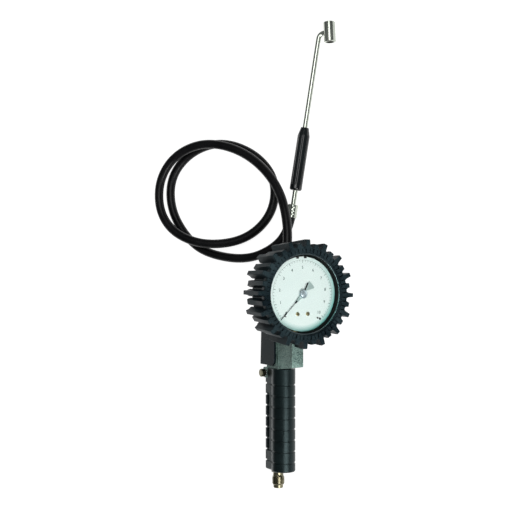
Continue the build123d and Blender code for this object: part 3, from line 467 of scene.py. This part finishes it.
# Each of the two valves is held shut by a spring wound from steel wire. One end stands on a seat in
# the body, and the rod or the button presses the other, so that the spring shortens towards its seat.
def wound_spring(node):
    """A copy of a CAD spring, with a mesh of its own, that stands in for the CAD piece."""
    mesh = to_mesh(joined_up(node), "wound_" + node)
    spring = add_piece("wound_" + node, mesh, steel, "inflator")
    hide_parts(node)
    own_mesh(spring)


wound_spring("valve_spring")
wound_spring("bleed_spring")

# The lever is a channel pressed from steel sheet and painted a blackish grey. It turns on a plain
# plated steel pin through the body's bar, and pushes the squeeze valve's rod in.
lever_paint = finish(
    "lever_paint", grain, (0.002, 0.0055, 0.008), (0.007, 0.0155, 0.02), 0.3,
    specular=0.07, glint=COOL, Depth=0.15,
)
softened("lever", lever_paint, 0.0004, body="lever")
dress(steel, "lever_pin")

# The boot is moulded in slate-black rubber and stretched over the gauge. Its grain varies a little
# in tone, and it is rubbed duller in patches.
boot_rubber = finish(
    "boot_rubber", grain, (0.002, 0.005, 0.0075), (0.022, 0.036, 0.041), 0.44,
    specular=0.1, glint=COOL, Depth=0.3, Wear=0.5,
)
softened("gauge_boot", boot_rubber, 0.00045)

# The gauge inside is a pressed steel case with a brass socket. Its coiled bronze tube straightens
# under pressure and turns the pointer through a link, a toothed sector and a pinion.
bronze = finish("bronze", rubbed, (0.4, 0.28, 0.14), (0.6, 0.42, 0.22), 0.3, metallic=1.0)
black_paint = finish("black_paint", grain, (0.01, 0.01, 0.01), (0.03, 0.03, 0.03), 0.35)
dress(black_paint, "gauge_case", "zero_stop")
dress(brass, "gauge_socket", "movement_plates", "pinion_arbor", "sector_gear", "tip_link")
dress(bronze, "coil_tube", "hair_spring")
dress(seal_rubber, "stem_washer", "window_gasket")

# The dial is pale mint white-enamelled aluminium, with painted shade going teal at its lower right rim.
# Two slotted brass screws hold it to the movement.
dial_paint = finish("dial_paint", grain, (0.79, 0.92, 0.88), (0.83, 0.95, 0.91), 0.45, Depth=0.03)
tree = dial_paint.node_tree
where = tree.nodes.new("ShaderNodeTexCoord")
upright = tree.nodes.new("ShaderNodeMapping")
centre = lying @ HUB
back = lying.to_3x3().normalized().inverted().to_euler()
upright.inputs["Rotation"].default_value = back
upright.inputs["Location"].default_value = -(back.to_matrix() @ centre)
flat = tree.nodes.new("ShaderNodeSeparateXYZ")
tree.links.new(where.outputs["Object"], upright.inputs["Vector"])
tree.links.new(upright.outputs[0], flat.inputs[0])
across, up = flat.outputs["X"], flat.outputs["Y"]
up_squared = add_math(tree, "MULTIPLY", up, up)
from_hub = add_math(tree, "SQRT", add_math(tree, "MULTIPLY_ADD", across, across, up_squared))
# Painted shade: a teal band round the dial's rim, strongest towards the lower right.
rim = tree.nodes.new("ShaderNodeMapRange")
rim.inputs["From Min"].default_value = 0.031
rim.inputs["From Max"].default_value = 0.0375
tree.links.new(from_hub, rim.inputs["Value"])
shade_slant = add_math(tree, "MULTIPLY_ADD", add_math(tree, "SUBTRACT", across, up), 13.0, 0.45)
rim_shade_amount = add_math(tree, "MULTIPLY", rim.outputs["Result"], shade_slant, clamp=True)
shader = tree.nodes["Principled BSDF"]
enamel = shader.inputs["Base Color"].links[0].from_socket
# The painted rim shade is mixed into the enamel's colour here.
tint = tree.nodes.new("ShaderNodeMix")
tint.data_type = "RGBA"
tint.inputs["B"].default_value = (0.16, 0.48, 0.43, 1)
tree.links.new(rim_shade_amount, tint.inputs["Factor"])
tree.links.new(enamel, tint.inputs["A"])
tree.links.new(tint.outputs["Result"], shader.inputs["Base Color"])
dress(dial_paint, "dial")
dress(brass, "dial_screws")

# The scale is printed in grey-green ink: eleven long strokes and four short ones between each pair,
# from nought at the lower left round to ten, with plain numbers inside them and a fine ring outside.
ZERO, TEN = 225, -45
STEP = (ZERO - TEN) / 10
INK_THICKNESS = 0.03
INK_MIDDLE = 0.025
ink = finish("ink", grain, (0.012, 0.06, 0.06), (0.03, 0.11, 0.10), 0.5, Depth=0.02)
strokes = bpy.data.node_groups.new("scale strokes", "GeometryNodeTree")
for label, kind, value in [
    ("Count", "NodeSocketInt", 11),
    ("Start", "NodeSocketFloat", radians(TEN)),
    ("Step", "NodeSocketFloat", radians(STEP)),
    ("Radius", "NodeSocketFloat", 32.6),
    ("Length", "NodeSocketFloat", 2.6),
    ("Width", "NodeSocketFloat", 0.4),
]:
    strokes.interface.new_socket(label, in_out="INPUT", socket_type=kind).default_value = value
strokes.interface.new_socket("Geometry", in_out="OUTPUT", socket_type="NodeSocketGeometry")
given = strokes.nodes.new("NodeGroupInput")
result = strokes.nodes.new("NodeGroupOutput")
index = strokes.nodes.new("GeometryNodeInputIndex")
turn = add_math(strokes, "MULTIPLY_ADD", index.outputs[0], given.outputs["Step"], given.outputs["Start"])
middle = strokes.nodes.new("ShaderNodeCombineXYZ")
for side, axis in [("COSINE", "X"), ("SINE", "Y")]:
    share = add_math(strokes, side, turn)
    strokes.links.new(add_math(strokes, "MULTIPLY", share, given.outputs["Radius"]), middle.inputs[axis])
facing = strokes.nodes.new("ShaderNodeCombineXYZ")
strokes.links.new(turn, facing.inputs["Z"])
size = strokes.nodes.new("ShaderNodeCombineXYZ")
size.inputs["Z"].default_value = INK_THICKNESS
strokes.links.new(given.outputs["Length"], size.inputs["X"])
strokes.links.new(given.outputs["Width"], size.inputs["Y"])
places = strokes.nodes.new("GeometryNodePoints")
bar = strokes.nodes.new("GeometryNodeMeshCube")
spread = strokes.nodes.new("GeometryNodeInstanceOnPoints")
real = strokes.nodes.new("GeometryNodeRealizeInstances")
inked = strokes.nodes.new("GeometryNodeSetMaterial")
inked.inputs["Material"].default_value = ink
strokes.links.new(given.outputs["Count"], places.inputs["Count"])
strokes.links.new(middle.outputs[0], places.inputs["Position"])
strokes.links.new(size.outputs[0], bar.inputs["Size"])
strokes.links.new(places.outputs[0], spread.inputs["Points"])
strokes.links.new(bar.outputs["Mesh"], spread.inputs["Instance"])
strokes.links.new(facing.outputs[0], spread.inputs["Rotation"])
strokes.links.new(spread.outputs[0], real.inputs[0])
strokes.links.new(real.outputs[0], inked.inputs["Geometry"])
strokes.links.new(inked.outputs[0], result.inputs[0])


def print_strokes(name, **sizes):
    """Strokes laid round the dial by the tree above, as one plain mesh on the dial's face."""
    holder = bpy.data.objects.new(name + "_maker", bpy.data.meshes.new("empty"))
    scene.collection.objects.link(holder)
    maker = holder.modifiers.new("strokes", "NODES")
    maker.node_group = strokes
    for item in strokes.interface.items_tree:
        if item.in_out == "INPUT" and item.name in sizes:
            maker[item.identifier] = sizes[item.name]
    mesh = evaluated(holder)
    mesh.transform(lying @ Matrix.Translation(HUB + Vector((0, 0, INK_MIDDLE))))
    return add_piece(name, mesh, ink, "inflator")


print_strokes("scale_strokes")
print_strokes("scale_fine_strokes", Count=51, Step=radians(STEP / 5), Radius=33.1, Length=1.6, Width=0.22)
print_strokes("scale_rim", Count=180, Step=radians(1.5), Radius=34.0, Length=0.16, Width=0.9)
NUMBER_RING = 26.6
numbers = bmesh.new()
for number in range(11):
    angle = radians(ZERO - STEP * number)
    text = bpy.data.curves.new("number", "FONT")
    text.body = str(number)
    text.size = 4.0
    text.offset = 0.05
    text.extrude = INK_THICKNESS / 2
    text.resolution_u = 3
    text.align_x = "CENTER"
    text.align_y = "CENTER"
    label = bpy.data.objects.new("number", text)
    scene.collection.objects.link(label)
    mesh = evaluated(label)
    offset = Vector((NUMBER_RING * cos(angle), NUMBER_RING * sin(angle), INK_MIDDLE))
    mesh.transform(lying @ Matrix.Translation(HUB + offset))
    numbers.from_mesh(mesh)
printed = to_mesh(numbers, "scale_numbers", smooth=False)
add_piece("scale_numbers", printed, ink, "inflator")


# Two black tabs bent over the dial's top edge keep it from turning, and a second black pin behind
# the ten stops the pointer from going further.
def plate(name, outlines, low, high, material, body):
    """Flat pieces cut to outlines round the hub, between two heights of the drawing."""
    shape = bmesh.new()
    for outline in outlines:
        face = shape.faces.new([shape.verts.new((x + HUB.x, y + HUB.y, low)) for x, y in outline])
        top = bmesh.ops.extrude_face_region(shape, geom=[face])["geom"]
        for vertex in top:
            if isinstance(vertex, bmesh.types.BMVert):
                vertex.co.z = high
    bmesh.ops.recalc_face_normals(shape, faces=shape.faces)
    mesh = to_mesh(shape, name, smooth=False)
    mesh.transform(lying)
    return add_piece(name, mesh, material, body)


def bar_at(angle, near, far, near_half, far_half):
    """A straight bar between two radii, with its own width at each end."""
    out = Vector((cos(radians(angle)), sin(radians(angle))))
    side = Vector((-out.y, out.x))
    inner, outer = side * near_half, side * far_half
    return [out * near - inner, out * far - outer, out * far + outer, out * near + inner]


tabs = [bar_at(99.4, 35.9, 37.6, 1.3, 1.3), bar_at(85.6, 35.9, 37.6, 1.3, 1.3)]
plate("dial_tabs", tabs, 50.0, 50.9, black_paint, "inflator")
pins = [bar_at(-54.8, 28.9, 30.3, 0.6, 0.6), bar_at(-51.8, 31.2, 32.8, 0.8, 0.8)]
plate("end_stop", pins, 50.0, 51.4, black_paint, "inflator")

# The pointer is a stamped aluminium needle. Its blade is black with two thicker stretches, the root
# and the fan that balances it are left pale, and a satin chromed cap covers the arbor.
needle_black = finish("needle_black", grain, (0.003, 0.005, 0.008), (0.009, 0.012, 0.016), 0.4)
pale_metal = finish("pale_metal", rubbed, (0.36, 0.5, 0.48), (0.5, 0.64, 0.6), 0.35, metallic=0.3)
chrome = finish("chrome", rubbed, (0.42, 0.56, 0.6), (0.75, 0.84, 0.85), 0.1, metallic=1.0)
blade = [
    bar_at(ZERO, 9.8, 12.6, 0.85, 0.75),
    bar_at(ZERO, 12.6, 26.8, 0.24, 0.2),
    bar_at(ZERO, 26.8, 30.2, 0.6, 0.6),
    bar_at(ZERO, 30.2, 36.0, 0.34, 0.26),
    bar_at(63, 4.0, 12.6, 0.7, 0.6),
]
FAN_RADIUS = 14.2
fan = []
for angle in range(24, 61, 4):
    fan.append(Vector((cos(radians(angle)) * FAN_RADIUS, sin(radians(angle)) * FAN_RADIUS)))
fan.append(Vector((1.6, 2.8)))
needle = plate("needle_blade", blade, 50.95, 51.4, needle_black, "pointer")
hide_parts("pointer")
root = bar_at(ZERO, 2.0, 9.8, 2.0, 1.0)
plate("needle_root", [root], 50.97, 51.38, pale_metal, "pointer")
plate("needle_fan", [fan], 50.9, 51.3, pale_metal, "pointer")
domed = [(0.02, 50.9), (4.0, 50.9), (4.0, 51.4), (4.3, 51.5), (4.35, 52.1), (4.0, 52.5), (3.3, 52.6)]
domed += [(3.0, 52.45), (2.2, 52.65), (1.1, 52.78), (0.02, 52.8)]
arbor = lying @ Matrix.Translation((HUB.x, HUB.y, 0))
mesh = lathe("needle_cap", lambda row, angle: domed[row][0], [height for _, height in domed], arbor)
satin = finish("satin", rubbed, (0.42, 0.55, 0.6), (0.6, 0.72, 0.76), 0.3, metallic=0.7)
add_piece("needle_cap", mesh, satin, "pointer")

# The bezel is a narrow chromed steel ring, rolled over the window's edge. The window is a clear
# acrylic disc that hides nothing and shows the lamps only at a low angle.
dress(chrome, "bezel_ring")
clear = finish("clear", grain, (0.05, 0.09, 0.085), (0.07, 0.11, 0.10), 0.06, Depth=0.0, Wear=0.05)
tree = clear.node_tree
edge = tree.nodes.new("ShaderNodeFresnel")
edge.inputs["IOR"].default_value = 1.35
haze = add_math(tree, "MULTIPLY_ADD", edge.outputs[0], 0.8, 0.01)
tree.links.new(haze, tree.nodes["Principled BSDF"].inputs["Alpha"])
dress(clear, "gauge_window")
